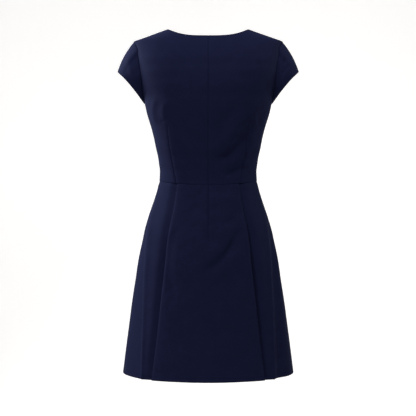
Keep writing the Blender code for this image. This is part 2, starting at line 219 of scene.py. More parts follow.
def form_normal(turn, z, face):
    """The form's outward unit normal, from two short steps along it."""
    here = turned_to(turn, z, face)
    inwards = turned_to(turn - TURN_STEP, z, face)
    below = turned_to(turn, z - HEIGHT_STEP, face)
    return unit(np.cross(here - below, here - inwards)) * face


def waist_height(x, face):
    across = np.clip(np.abs(x) / half_width(WAIST_SIDE), 0.0, 1.0)
    return WAIST_SIDE - WAIST_DIP[face] * (1 - across ** 2)


def neck_height(x, face):
    rise = NECK_POINT[1] - NECK_CENTRE[face]
    return NECK_CENTRE[face] + rise * (np.abs(x) / NECK_POINT[0]) ** NECK_ROUND[face]


around = np.linspace(-math.pi / 2, math.pi / 2, 200)
waist_round = sum(run_length(turned_to(around, np.full_like(around, WAIST_SIDE), face))[-1]
                  for face in (BACK, FRONT))
print("waist all round", round(float(waist_round), 3), "m")

# %% [markdown]
# ## Seams
#
# Where two pieces are sewn together, the cloth of each turns in over a millimetre or two, and
# that soft groove is what the eye reads as a seam. It needs real geometry: extra loops of
# points close to each cut edge, sunk a little towards the inside. A bump map alone would vanish
# along the outline.

# %% Loops close to the cut edges
SEAM = 0.0003
EDGE_LOOPS = (0.0005, 0.0011, 0.0019, 0.0030, 0.0046)
# How many points a line is drawn with before it is cut at its stations
FINE = 160


def stations(length, count, start, end):
    """Distances along a run: loops close to its sewn ends, and even steps between them."""
    first = EDGE_LOOPS if start else (0.0,)
    last = EDGE_LOOPS if end else (0.0,)
    even = np.linspace(first[-1], length - last[-1], count + 1)
    head = [0.0, *first[:-1]] if start else []
    tail = [length - d for d in (*reversed(last[:-1]), 0.0)] if end else []
    return np.concatenate([head, even, tail])


def along_line(line, count, start, end, face):
    """(turn, z) points of a line on the form, cut at the stations of its real length."""
    length = run_length(turned_to(line[:, 0], line[:, 1], face))
    cuts = stations(length[-1], count, start, end)
    return np.stack([np.interp(cuts, length, line[:, i]) for i in range(2)], axis=-1)


print("loops", [1000 * loop for loop in EDGE_LOOPS], "mm from each sewn edge")

# %% [markdown]
# ## A bodice half
#
# A half bodice has four sides: the centre, the waist, the side seam with the armhole, and the
# neckline with the shoulder seam. Its dart runs up the middle. So it is made as two patches
# that share the dart line, each blended from its four edges (a Coons patch). A row of points
# then follows every seam, which a plain projected grid can't do. The outer patch is blended as
# angles round the form and heights, so that its points stay on the form up to the side seam.

# %% Upright lines of a bodice half
BODY_ROWS = 56
ARM_ROWS = 46
# The level where the dart's line has turned half way towards the neck point
DART_TURN = -0.120


def upright(x_at, foot, top, face):
    """A line that runs up the bodice, from the waist to the underarm's level and to the top."""
    low = np.linspace(foot, UNDERARM, FINE)
    high = UNDERARM + (top - UNDERARM) * (1 - (1 - np.linspace(0, 1, FINE)) ** 2)
    lower, upper = (np.stack([turn_of(x_at(z), z), z], axis=-1) for z in (low, high))
    return np.concatenate([along_line(lower, BODY_ROWS, True, False, face),
                           along_line(upper, ARM_ROWS, False, True, face)[1:]])


def side_and_armhole(face):
    low = np.linspace(WAIST_SIDE, UNDERARM, FINE)
    high = UNDERARM + (SHOULDER_TIP[1] - UNDERARM) * (1 - np.cos(np.linspace(0, math.pi, FINE))) / 2
    x = SCYE["back" if face == BACK else "front"](high)
    lower = np.stack([np.full(FINE, math.pi / 2), low], axis=-1)
    upper = np.stack([turn_of(x, high), high], axis=-1)
    upper[[0, -1], 0] = math.pi / 2
    return np.concatenate([along_line(lower, BODY_ROWS, True, False, face),
                           along_line(upper, ARM_ROWS, False, True, face)[1:]])


def dart_line(face):
    """The dart's place across the bodice at each height, carried on up to the neck point."""
    point_x, point_z = DART_POINT[face]
    foot = float(waist_height(DART_FOOT[face], face))
    middle_x = (point_x + NECK_POINT[0]) / 2
    return foot, curve_through((foot, point_z, DART_TURN, NECK_POINT[1]),
                               (DART_FOOT[face], point_x, middle_x, NECK_POINT[0]))


for face, name in ((BACK, "back"), (FRONT, "front")):
    print(name, "dart", round(DART_POINT[face][1] - dart_line(face)[0], 3), "m long")

# %% Rows of a bodice half
INNER_COLUMNS = 30
OUTER_COLUMNS = 34


def patch_row(bottom, top, left, right, v):
    """One row of points of a four-sided patch, blended from its edges."""
    u = np.linspace(0, 1, FINE)[:, None]
    flat = (1 - v) * bottom + v * top + (1 - u) * left + u * right
    flat -= (1 - v) * ((1 - u) * bottom[0] + u * bottom[-1]) + v * ((1 - u) * top[0] + u * top[-1])
    return flat


def half_bodice(face, centre_x, centre_seam):
    """Rows of (turn, z) places of the right half, from the waist up and from the centre out."""
    foot, dart_x = dart_line(face)
    centre = upright(lambda z: np.full_like(z, centre_x), float(waist_height(centre_x, face)),
                     float(neck_height(centre_x, face)), face)
    dart = upright(dart_x, foot, NECK_POINT[1], face)
    side = side_and_armhole(face)
    centre_flat, dart_flat = (np.stack([half_width(line[:, 1]) * np.sin(line[:, 0]), line[:, 1]],
                                       axis=-1) for line in (centre, dart))
    even = np.linspace(0, 1, FINE)
    bent = np.sin(even * math.pi / 2)

    def across(first, last, height):
        x = first + (last - first) * bent
        return np.stack([x, height(x, face)], axis=-1)

    waist = across(centre_x, dart_flat[0, 0], waist_height)
    neck = across(centre_x, NECK_POINT[0], neck_height)
    turn = dart[0, 0] + (math.pi / 2 - dart[0, 0]) * even
    turned_waist = waist_height(half_width(WAIST_SIDE) * np.sin(turn), face)
    side_waist = np.stack([turn, turned_waist], axis=-1)
    shoulder_z = NECK_POINT[1] + (SHOULDER_TIP[1] - NECK_POINT[1]) * even
    shoulder = np.stack([np.full(FINE, math.pi / 2), shoulder_z], axis=-1)
    rows = []
    for j in range(len(dart)):
        v = (dart[j, 1] - dart[0, 1]) / (dart[-1, 1] - dart[0, 1])
        inner = patch_row(waist, neck, centre_flat[j], dart_flat[j], v)
        inner[:, 0] = turn_of(inner[:, 0], inner[:, 1])
        inner = along_line(inner, INNER_COLUMNS, centre_seam, True, face)
        outer = patch_row(side_waist, shoulder, dart[j], side[j], v)
        outer = along_line(outer, OUTER_COLUMNS, True, True, face)
        rows.append(np.concatenate([inner, outer[1:]]))
    dart_column = len(inner) - 1
    return np.array(rows), dart_column


print("a bodice half has", INNER_COLUMNS, "steps inside its dart and", OUTER_COLUMNS, "outside")

# %% [markdown]
# ## Creases
#
# Worn cloth is never smooth. Soft troughs run from the waist up to the shoulder blade, where
# the back is a little long, and short puckers sit at the points of the darts. Each crease here
# is a line between two places on the dress, with its own width and depth, and it fades at both
# ends. They are listed one by one, uneven on purpose. A cloth simulation would give folds too,
# but not these ones in these places.

# %% Creases of the bodice
# x0, z0 and x1, z1 are the two ends as seen square on, all in metres. A negative depth is a
# raised ridge.
BACK_BODICE_CREASES = (
    # x0, z0, x1, z1, width, depth
    (0.028, -0.323, 0.102, -0.240, 0.0105, 0.0078),
    (0.046, -0.364, 0.084, -0.338, 0.0070, 0.0048),
    (0.030, -0.236, 0.064, -0.198, 0.0090, 0.0016),
    (0.010, -0.304, 0.088, -0.216, 0.0120, -0.0034),
    (-0.040, -0.352, -0.088, -0.312, 0.0110, 0.0014),
    (-0.137, -0.176, -0.133, -0.232, 0.0050, -0.0021),
    (-0.110, -0.184, -0.108, -0.226, 0.0060, -0.0018),
    (0.140, -0.186, 0.132, -0.240, 0.0060, 0.0016),
    (-0.104, -0.226, -0.118, -0.229, 0.0025, 0.0012),
    (0.104, -0.226, 0.117, -0.229, 0.0025, 0.0010),
    (-0.060, -0.060, -0.015, -0.095, 0.0160, 0.0008),
    (0.020, -0.050, 0.070, -0.075, 0.0170, 0.0007),
)
FRONT_BODICE_CREASES = (
    (-0.120, -0.215, -0.150, -0.182, 0.0070, 0.0013),
    (0.118, -0.210, 0.151, -0.186, 0.0065, 0.0011),
    (-0.034, -0.352, -0.074, -0.310, 0.0085, 0.0014),
    (0.022, -0.342, 0.070, -0.296, 0.0095, 0.0012),
    (-0.126, -0.120, -0.142, -0.080, 0.0080, 0.0012),
    (0.128, -0.128, 0.144, -0.092, 0.0075, 0.0010),
    (0.090, -0.243, 0.102, -0.238, 0.0028, 0.0006),
    (-0.090, -0.243, -0.104, -0.240, 0.0028, 0.0006),
)
print("creases", len(BACK_BODICE_CREASES), "on the back,", len(FRONT_BODICE_CREASES), "on the front")

# %% Creases of the skirt
BACK_SKIRT_CREASES = (
    # x0, z0, x1, z1, width, depth
    (-0.005, -0.604, 0.075, -0.512, 0.0090, 0.0084),
    (-0.016, -0.595, 0.063, -0.503, 0.0120, -0.0030),
    (0.040, -0.492, 0.077, -0.453, 0.0075, 0.0034),
    (-0.012, -0.668, 0.078, -0.606, 0.0230, 0.0046),
    (-0.080, -0.505, -0.084, -0.672, 0.0085, 0.0024),
    (-0.052, -0.420, -0.020, -0.470, 0.0130, 0.0008),
    (0.098, -0.500, 0.106, -0.640, 0.0080, 0.0010),
    (0.020, -0.770, 0.070, -0.705, 0.0240, 0.0026),
    (-0.070, -0.800, -0.030, -0.730, 0.0260, 0.0022),
)
FRONT_SKIRT_CREASES = (
    (0.060, -0.402, 0.018, -0.470, 0.0090, 0.0014),
    (-0.055, -0.405, -0.024, -0.462, 0.0080, 0.0012),
    (-0.020, -0.560, 0.052, -0.505, 0.0150, 0.0014),
    (0.030, -0.700, -0.048, -0.640, 0.0230, 0.0020),
    (0.076, -0.560, 0.082, -0.700, 0.0100, 0.0012),
)
print("creases", len(BACK_SKIRT_CREASES), "on the back,", len(FRONT_SKIRT_CREASES), "on the front")

# %% [markdown]
# ## Where the cloth stands proud
#
# The cloth lies flattest between its darts, and between its pleats below. Along those lines it
# stands a few millimetres proud and turns away to the sides, which the light shows as two soft
# upright edges. A table gives the line and the height of that rise.

# %% Proud lines, pressed creases and unevenness
PROUD = columns({
    "height": (-0.878, -0.677, -0.521, -0.381, -0.300, -0.226, -0.120),
    "line": (0.1425, 0.1200, 0.1032, 0.0790, 0.0905, 0.1050, 0.1100),
    "rise": (0.0045, 0.0045, 0.0042, 0.0036, 0.0036, 0.0026, 0.0000),
    "width": (0.0300, 0.0260, 0.0240, 0.0220, 0.0220, 0.0220, 0.0220),
}, "height")


def proud(x, z):
    """How far the cloth stands out along the darts and pleats."""
    return PROUD["rise"](z) * hump(np.abs(x), PROUD["line"](z), PROUD["width"](z))


# Each crease bows by this share of its length, and fades over this share beyond each end
CREASE_BOW = 0.10
CREASE_FADE = 0.25
WAVE_COUNT = 6
WAVE_SPREAD = (0.7, 1.6)


def crease_depth(x, z, creases):
    """How far the creases press the cloth in at each place."""
    depth = np.zeros_like(x)
    for x0, z0, x1, z1, width, deep in creases:
        dx, dz = x1 - x0, z1 - z0
        length = math.hypot(dx, dz)
        along = ((x - x0) * dx + (z - z0) * dz) / length ** 2
        aside = ((x - x0) * dz - (z - z0) * dx) / length
        bow = CREASE_BOW * length * np.sin(np.clip(along, 0, 1) * math.pi)
        fade = (smooth_step((along + CREASE_FADE) / (2 * CREASE_FADE))
                * smooth_step((1 + CREASE_FADE - along) / (2 * CREASE_FADE)))
        depth += deep * fade * hump(aside, bow, width)
    return depth


def waves(x, z, size, seed):
    """A small smooth unevenness of hand-hung cloth, from a few crossed sine waves."""
    rng = np.random.default_rng(seed)
    total = np.zeros_like(x)
    for _ in range(WAVE_COUNT):
        way = rng.uniform(0, math.pi)
        length = size * rng.uniform(*WAVE_SPREAD)
        place = (x * math.cos(way) + z * math.sin(way)) / length
        total += np.sin(2 * math.pi * place + rng.uniform(0, 2 * math.pi))
    return total / WAVE_COUNT


print("the cloth stands", 1000 * float(PROUD["rise"](WAIST_SIDE)), "mm proud at the waist")

# %% [markdown]
# ## From points to cloth
#
# A sheet starts as a `create_grid`, because a grid already has the rows and columns of woven
# cloth. Its points are then laid on the form. The sheet goes on past its cut edges: there it
# turns back inside as a hem or a seam allowance, as sewn cloth does. Its UV map is measured
# along the cloth in metres, so that a weave drawn on it has one size everywhere. Solidify gives
# the sheet its thickness, on the inside only.

# %% Normals, lengths and objects
collection = bpy.data.collections.new("dress")
bpy.context.scene.collection.children.link(collection)


def normals_of(points):
    """Unit normals of a sheet of points, from the directions of its neighbours."""
    def along(axis):
        step = unit(np.diff(points, axis=axis))
        pad = [(0, 0)] * 3
        pad[axis] = (1, 1)
        step = np.pad(step, pad, mode="edge")
        lower = np.take(step, range(step.shape[axis] - 1), axis=axis)
        upper = np.take(step, range(1, step.shape[axis]), axis=axis)
        return lower + upper

    return unit(np.cross(along(0), along(1)))


def from_edges(points):
    """Each point's distance along its row from both ends, and along its column from both ends."""
    across = np.cumsum(np.linalg.norm(np.diff(points, axis=1), axis=-1), axis=1)
    across = np.concatenate([np.zeros((len(points), 1)), across], axis=1)
    down = np.cumsum(np.linalg.norm(np.diff(points, axis=0), axis=-1), axis=0)
    down = np.concatenate([np.zeros((1, points.shape[1])), down], axis=0)
    return across, across[:, -1:] - across, down, down[-1:] - down


def object_from(bm, name, home):
    """A smooth shaded object in the collection home, made from a bmesh, which is freed."""
    mesh = bpy.data.meshes.new(name)
    bm.to_mesh(mesh)
    bm.free()
    mesh.shade_smooth()
    obj = bpy.data.objects.new(name, mesh)
    home.objects.link(obj)
    return obj


print("pieces go to the collection", collection.name)

# %% Sheets of cloth with turned edges
CLOTH_THICK = 0.0008
TURN_GAP = 0.0001
TURN_DEPTH = 2 * CLOTH_THICK + TURN_GAP


def turned(points, inner, count, push):
    """The rows to put before a sheet's first row: its edge, folded over to the inside."""
    beyond = unit(points[0] - points[1]) * push
    fold = (points[0] + inner[0]) / 2 + beyond
    return np.concatenate([inner[count:0:-1], inner[:1], fold[None]])


def with_turned_edges(points, normal, edges, push):
    """The sheet's points with its edges turned in, and how many rows each edge adds."""
    sheet = points
    inside = points - TURN_DEPTH * normal
    ends = ((False, 0), (True, 0), (False, 1), (True, 1))
    pads = []
    for count, out, (back, axis) in zip(edges, push, ends):
        p, q = (np.swapaxes(a, 0, 1) if axis else a for a in (sheet, inside))
        if back:
            p, q = p[::-1], q[::-1]
        if count:
            block = turned(p, q, count, out)
            p = np.concatenate([block, p])
            q = np.concatenate([block, q])
        pads.append(count + 2 if count else 0)
        if back:
            p, q = p[::-1], q[::-1]
        sheet, inside = (np.swapaxes(a, 0, 1) if axis else a for a in (p, q))
    return sheet, pads


def kept_faces(rows, wide, edges, pads):
    """Which faces of a grid stay: none where two turned edges would cross in a corner."""
    keep = np.ones((rows - 1, wide - 1), bool)
    for corner in (slice(0, pads[2]), slice(wide - 1 - pads[3], None)):
        keep[:pads[0] + edges[0], corner] = False
        keep[rows - 1 - pads[1] - edges[1]:, corner] = False
    return keep


def cloth_object(name, points, normal, edges, push, holes=None, thick=CLOTH_THICK):
    """A sheet of cloth. edges counts the rows or columns turned in: low, high, first, last.

    push says, for the same four edges, how far the fold bulges past the edge: two folds that
    meet in a seam touch each other, and the fold of a hem is plump.
    """
    rows, wide = points.shape[:2]
    sheet, pads = with_turned_edges(points, normal, edges, push)
    total_rows, total_wide = sheet.shape[:2]
    keep = kept_faces(total_rows, total_wide, edges, pads)
    if holes is not None:
        for row, column in holes(pads, rows, wide):
            keep[row, column] = False
    bm = bmesh.new()
    bmesh.ops.create_grid(bm, x_segments=total_wide - 1, y_segments=total_rows - 1, size=1.0)
    across, _, down, _ = from_edges(sheet)
    uv = bm.loops.layers.uv.new("cloth")
    for k, vert in enumerate(bm.verts):
        vert.co = sheet[k // total_wide, k % total_wide]
        vert.index = k
    loose = []
    for face in bm.faces:
        corners = [divmod(loop.vert.index, total_wide) for loop in face.loops]
        for loop, (row, column) in zip(face.loops, corners):
            loop[uv].uv = (across[row, column], down[row, column])
        if not keep[min(c[0] for c in corners), min(c[1] for c in corners)]:
            loose.append(face)
    bmesh.ops.delete(bm, geom=loose, context="FACES")
    middle = (slice(rows // 3, 2 * rows // 3), slice(wide // 3, 2 * wide // 3))
    facing = np.cross(np.gradient(points, axis=1), np.gradient(points, axis=0))[middle]
    if np.sum(facing * normal[middle]) < 0:
        bmesh.ops.reverse_faces(bm, faces=bm.faces)
    area = sum(face.calc_area() for face in bm.faces)
    obj = object_from(bm, name, collection)
    solid = obj.modifiers.new("cloth thickness", "SOLIDIFY")
    solid.thickness = thick
    solid.offset = -1.0
    solid.use_even_offset = False
    print(name, len(obj.data.polygons), "faces,", round(area, 4), "m2 of cloth")
    return obj


def mirrored(points):
    """The same sheet on the other side of the dress, its columns in rising x."""
    return points[:, ::-1] * np.array([-1.0, 1.0, 1.0])


# %% [markdown]
# ## The bodice
#
# The back is cut in two, because the zip runs down its centre. The front is cut on a fold of
# the cloth, so it is one piece. Each has a dart from the waist towards the fullest part, sewn
# from the inside: only a fine line with a slight hollow shows.

# %% Points of a half bodice
# How deep the cloth sinks at a seam, along a dart and at a free edge
SEAM_SINK = 0.0012
DART_SINK = 0.0022
EDGE_SINK = 0.0003
ROLL_WIDTH = 0.0016
DART_WIDTH = 0.0016
# A dart's depth at its point, as a share of that at its foot, and how soon it ends there
DART_SHARE = 0.55
DART_FADE = 0.014
# The centre seam closes this near the neck, and seams hold the cloth smooth this far from them
NECK_CLOSE = 0.008
SEAM_HOLD = 0.014
BODICE_WAVE_DEPTH = 0.0005
BODICE_WAVE_SIZE = 0.11


def rolled(distance, sink):
    """The soft groove beside an edge."""
    return sink * np.exp(-distance / ROLL_WIDTH)


def bodice_points(face, centre_x, centre_seam, creases, seed, side):
    """Outer points of a half bodice. side is -1 for the wearer's left, with its own creases."""
    places, dart_column = half_bodice(face, centre_x, centre_seam)
    flat = turned_to(places[..., 0], places[..., 1], face)
    normal = form_normal(places[..., 0], places[..., 1], face)
    start, end, low, high = from_edges(flat)
    shoulder = np.arange(flat.shape[1]) >= dart_column
    sink = np.maximum(rolled(np.minimum(end, low), SEAM_SINK),
                      rolled(high, np.where(shoulder, SEAM_SINK, EDGE_SINK)))
    if centre_seam:
        sink = np.maximum(sink, rolled(start, SEAM_SINK) * smooth_step(high / NECK_CLOSE))
    to_dart = np.abs(start - start[:, [dart_column]])
    point_z = DART_POINT[face][1]
    below_point = point_z - flat[..., 2]
    growth = smooth_step(below_point / (point_z - WAIST_SIDE))
    taper = smooth_step(below_point / DART_FADE) * (DART_SHARE + (1 - DART_SHARE) * growth)
    sink += DART_SINK * taper * np.exp(-to_dart / DART_WIDTH)
    x = flat[..., 0] * side
    free = smooth_step(np.minimum(end, np.minimum(low, high)) / SEAM_HOLD)
    sink += free * crease_depth(x, flat[..., 2], creases)
    sink += free * BODICE_WAVE_DEPTH * waves(x, flat[..., 2], BODICE_WAVE_SIZE, seed)
    points = flat + (proud(x, flat[..., 2]) - sink)[..., None] * normal
    points[..., 1] = face * np.maximum(points[..., 1] * face, SEAM / 2)
    points[0, :, 2] += SEAM / 2
    if centre_x > 0:
        points[:, 0, 0] = centre_x
    if face == FRONT:
        points[:, 0, 0] = 0.0
    return points, normal


print("seams sink", 1000 * SEAM_SINK, "mm, darts", 1000 * DART_SINK, "mm")

# %% Bodice pieces
# Rows or columns of cloth turned in at each kind of edge, and how far their folds bulge
SEAM_TURN = 7
NECK_TURN = 7
SEAM_PUSH = 0.00024
BODICE_EDGES = (SEAM_TURN, NECK_TURN, SEAM_TURN, SEAM_TURN)
BODICE_PUSH = (SEAM_PUSH,) * 4
BACK_SEED = 3
FRONT_SEED = 5

(back_right, back_right_normal), (back_left, back_left_normal) = (
    bodice_points(BACK, SEAM / 2, True, BACK_BODICE_CREASES, BACK_SEED, side) for side in (1.0, -1.0))
(front_right, front_right_normal), (front_left, front_left_normal) = (
    bodice_points(FRONT, 0.0, False, FRONT_BODICE_CREASES, FRONT_SEED, side) for side in (1.0, -1.0))
front_points, front_normal = (
    np.concatenate([mirrored(left), right[:, 1:]], axis=1)
    for left, right in ((front_left, front_right), (front_left_normal, front_right_normal)))
bodice_back_right = cloth_object("bodice_back_right", back_right, back_right_normal,
                                 BODICE_EDGES, BODICE_PUSH)
bodice_back_left = cloth_object("bodice_back_left", mirrored(back_left), mirrored(back_left_normal),
                                BODICE_EDGES, BODICE_PUSH)
bodice_front = cloth_object("bodice_front", front_points, front_normal, BODICE_EDGES, BODICE_PUSH)

# %% [markdown]
# ## The sleeves
#
# Each cap sleeve is one piece of cloth round the top of the arm, from the armhole seam to a hem
# that leans outwards. It stands a little away from the arm, so the armhole shows from the side.

# %% Points of a sleeve
SLEEVE_UNDERARM = (0.1670, -0.1785)
SLEEVE_TIP = (0.2376, -0.0943)
SLEEVE_DEPTH = {BACK: 0.0460, FRONT: 0.0500}
SLEEVE_LIFT = {BACK: 0.0045, FRONT: 0.0085}
SLEEVE_CROWN = 0.0045
SLEEVE_ROWS = 26
SLEEVE_LEAST = 0.012
SLEEVE_WAVE_DEPTH = 0.0003
SLEEVE_WAVE_SIZE = 0.05
SLEEVE_SEED = 7
# Creases press in this far from the crown line, and where the sleeve is this long
CREASE_FROM_CROWN = 0.012
CREASE_LENGTH = 0.03
SLEEVE_CREASES = {
    # x0, z0, x1, z1, width, depth
    BACK: ((-0.2046, -0.0600, -0.1788, -0.1243, 0.0055, -0.0014),
           (0.2050, -0.0640, 0.1790, -0.1130, 0.0045, 0.0014),
           (0.2075, -0.0820, 0.1820, -0.1330, 0.0040, 0.0012),
           (-0.2150, -0.0900, -0.1850, -0.1400, 0.0060, 0.0009)),
    FRONT: ((-0.2080, -0.0560, -0.1800, -0.1180, 0.0060, 0.0012),
            (0.2060, -0.0580, 0.1830, -0.1280, 0.0055, 0.0013)),
}


def sleeve_hem(face, turn):
    """The sleeve hem from the underarm to the tip: half an oval in a plane that leans outwards."""
    out = (1 - np.cos(turn))[:, None] / 2
    line = np.array(SLEEVE_UNDERARM) + out * (np.array(SLEEVE_TIP) - SLEEVE_UNDERARM)
    y = face * SLEEVE_DEPTH[face] * np.sin(turn)
    return np.stack([line[:, 0], y, line[:, 1] + SLEEVE_LIFT[face] * np.sin(turn) ** 2], axis=-1)


def armhole(points, normal):
    """The armhole edge of a bodice half, from the underarm up, and the cloth's normals there."""
    first = len(EDGE_LOOPS) + BODY_ROWS
    return points[first:, -1], normal[first:, -1]


def sleeve_points(side, back, front):
    """Outer points of a sleeve. back and front are the armhole edges it is sewn to."""
    seam, hem = [], []
    for face, (edge, _) in ((BACK, back), (FRONT, front)):
        seam.append(edge)
        length = run_length(edge)
        hem.append(sleeve_hem(face, math.pi * length / length[-1]))
    seam = np.concatenate([seam[0][:-1], [(seam[0][-1] + seam[1][-1]) / 2], seam[1][-2::-1]])
    seam_normal = np.concatenate([back[1], front[1][-2::-1]])
    hem = np.concatenate([hem[0], hem[1][-2::-1]])
    clear = unit(np.cross(np.gradient(seam, axis=0), seam_normal))
    seam = seam + SEAM * clear
    length = np.linalg.norm(hem - seam, axis=-1)
    down = np.array([stations(one, SLEEVE_ROWS, True, True) / one
                     for one in np.maximum(length, SLEEVE_LEAST)])
    down = down.T[..., None]
    flat = seam + down * (hem - seam)
    normal = normals_of(flat)
    out = np.sign(np.sum(normal[:, len(seam) // 2, 2]))
    normal = normal * out
    swell = 4 * down * (1 - down) * SLEEVE_CROWN * (length / length.max())[:, None]
    distance = down[..., 0] * length
    sink = rolled(distance, SEAM_SINK) + rolled(length - distance, EDGE_SINK)
    x, y, z = np.moveaxis(flat, -1, 0)
    for face in (BACK, FRONT):
        own = smooth_step(y * face / CREASE_FROM_CROWN) * smooth_step(length / CREASE_LENGTH)
        sink += own * crease_depth(x * side, z, SLEEVE_CREASES[face])
    sink += SLEEVE_WAVE_DEPTH * waves(x * side, z + y, SLEEVE_WAVE_SIZE, SLEEVE_SEED)
    points = flat + swell * normal - sink[..., None] * normal
    points[:, 0, 1] = -SEAM / 2
    points[:, -1, 1] = SEAM / 2
    return points, normals_of(points) * out


print("sleeve from the underarm", SLEEVE_UNDERARM, "to the tip", SLEEVE_TIP)

# %% Sleeve pieces
SLEEVE_HEM_TURN = 11
HEM_PUSH = 0.0004
SLEEVE_EDGES = (SEAM_TURN, SLEEVE_HEM_TURN, 0, 0)
SLEEVE_PUSH = (SEAM_PUSH, HEM_PUSH, 0.0, 0.0)

right_sleeve, right_sleeve_normal = sleeve_points(
    1.0, armhole(back_right, back_right_normal), armhole(front_right, front_right_normal))
left_sleeve, left_sleeve_normal = sleeve_points(
    -1.0, armhole(back_left, back_left_normal), armhole(front_left, front_left_normal))
sleeve_right = cloth_object("cap_sleeve_right", right_sleeve, right_sleeve_normal, SLEEVE_EDGES,
                            SLEEVE_PUSH)
sleeve_left = cloth_object("cap_sleeve_left", mirrored(left_sleeve), mirrored(left_sleeve_normal),
                           SLEEVE_EDGES, SLEEVE_PUSH)

# %% [markdown]
# ## The skirt
#
# Two panels, back and front, each with one knife pleat a side that points outwards. A pleat is
# a real fold in the sheet here: each row of points runs out to the fold, back under it, and out
# again. Outside the pleat the cloth rises in a soft ridge and drops into a hollow, which is how
# flare hangs from a fitted waist. Each of the four pleats has its own ridge and hollow.

# %% Sizes of the skirt and its pleats
HEM = -0.878
SLIT_END = -0.528
PLEATS = {
    "height": (-0.878, -0.783, -0.677, -0.576, -0.521, -0.450, -0.381),
    "fold": (0.1425, 0.1309, 0.1200, 0.1086, 0.1032, 0.0893, 0.0785),
    "underlay": (0.0280, 0.0260, 0.0235, 0.0205, 0.0185, 0.0155, 0.0120),
    "slack": (0.0016, 0.0014, 0.0012, 0.0010, 0.0008, 0.0006, 0.0004),
    "crest": (0.1635, 0.1618, 0.1597, 0.1555, 0.1520, 0.1400, 0.1250),
    "swell": (1.00, 0.95, 0.85, 0.65, 0.45, 0.10, 0.00),
    "left_swell": (0.90, 0.80, 0.70, 1.00, 1.00, 0.40, 0.00),
    "ridge_width": (0.42, 0.50, 0.65, 0.90, 1.00, 1.00, 1.00),
    "gape": (0.25, 0.70, 1.00, 1.00, 0.75, 0.35, 0.00),
}
PLEAT = columns(PLEATS, "height")
FOUR_PLEATS = {
    "place": ((BACK, -1.0), (BACK, 1.0), (FRONT, -1.0), (FRONT, 1.0)),
    "drop": (0.0026, 0.0085, 0.0030, 0.0026),
    "drop_width": (0.0200, 0.0120, 0.0140, 0.0150),
    "ridge_rise": (0.0040, 0.0042, 0.0034, 0.0030),
    "ridge_width": (0.0090, 0.0070, 0.0085, 0.0095),
    "hollow_depth": (0.0015, 0.0085, 0.0085, 0.0085),
    "hollow_width": (0.0210, 0.0140, 0.0210, 0.0210),
    "hollow_outside": (0.0440, 0.0280, 0.0440, 0.0440),
}


def own(size, face, side):
    """One size of the pleat on this face and this side of the dress."""
    return FOUR_PLEATS[size][FOUR_PLEATS["place"].index((face, side))]


print("pleats fold", PLEATS["fold"][-1], "m from the centre at the waist,", PLEATS["fold"][0], "below")

# %% A level section of the skirt
# From this share of the way down, sunk cloth is lifted by this share, so that the hem is even
LEVEL_FROM = 0.8
HEM_LEVEL = 0.16
SLIT_CLOSE = 0.02
SKIRT_WAVE_DEPTH = 0.0008
SKIRT_WAVE_SIZE = 0.19


def side_normals(line, face):
    """Level normals along a run of points that goes outwards, square to it at every point."""
    step = unit(np.diff(line[:, :2], axis=0))
    step = np.concatenate([step[:1], step, step[-1:]])
    both = unit(step[1:] + step[:-1])
    return face * np.stack([-both[:, 1], both[:, 0], np.zeros(len(both))], axis=-1)


def skirt_section(face, down, side, creases, seed):
    """Fine points of the skirt's form at one level, from the centre to the side."""
    z_side = WAIST_SIDE + (HEM - WAIST_SIDE) * down
    turn = np.linspace(0, math.pi / 2, 3 * FINE)
    z = z_side - WAIST_DIP[face] * (1 - down) ** 2 * np.cos(turn) ** 2
    line = on_form(half_width(z) * np.sin(turn), z, face)
    length = run_length(line)
    normal = side_normals(line, face)
    crest = np.interp(PLEAT["crest"](z_side), line[:, 0], length)
    hollow = crest + own("hollow_outside", face, side)
    ridge = PLEAT["left_swell" if side < 0 else "swell"](z_side) * own("ridge_rise", face, side)
    ridge_width = PLEAT["ridge_width"](z_side) * own("ridge_width", face, side)
    hollow_depth = PLEAT["swell"](z_side) * own("hollow_depth", face, side)
    relief = ridge * hump(length, crest, ridge_width)
    relief -= hollow_depth * hump(length, hollow, own("hollow_width", face, side))
    from_waist = down * (WAIST_SIDE - HEM)
    from_side = length[-1] - length
    sink = np.maximum(rolled(np.minimum(from_side, from_waist), SEAM_SINK),
                      rolled(WAIST_SIDE - HEM - from_waist, EDGE_SINK))
    if face == BACK:
        open_part = smooth_step((z_side - SLIT_END) / SLIT_CLOSE)
        sink = np.maximum(sink, open_part * rolled(length, SEAM_SINK))
    x = line[:, 0] * side
    free = smooth_step(np.minimum(from_side, from_waist) / SEAM_HOLD)
    relief += proud(x, z) - sink
    uneven = SKIRT_WAVE_DEPTH * waves(x, z, SKIRT_WAVE_SIZE, seed)
    relief -= free * (crease_depth(x, z, creases) + uneven)
    bulged = line + relief[:, None] * normal
    sunk = np.minimum(relief, 0) * face * normal[:, 1]
    bulged[:, 2] += HEM_LEVEL * smooth_step((down - LEVEL_FROM) / (1 - LEVEL_FROM)) * sunk
    return bulged, z_side


print("skirt", round(2 * float(half_width(np.array(HEM))), 3), "m across its hem")

# %% A row of the skirt, with its knife pleat
CENTRE_COLUMNS = 38
PANEL_COLUMNS = 56
FOLD_STEPS = 8
LAYER_STEPS = 6
FOLD_BEND = 0.0012
# The top cloth rolls back towards its fold
FOLD_ROLL = 0.0022
FOLD_ROLL_WIDTH = 0.0070
# The drop's width under the top cloth, and how soon the panel comes back up to the form
DROP_INWARD = 0.010
RECOVER = 0.0260


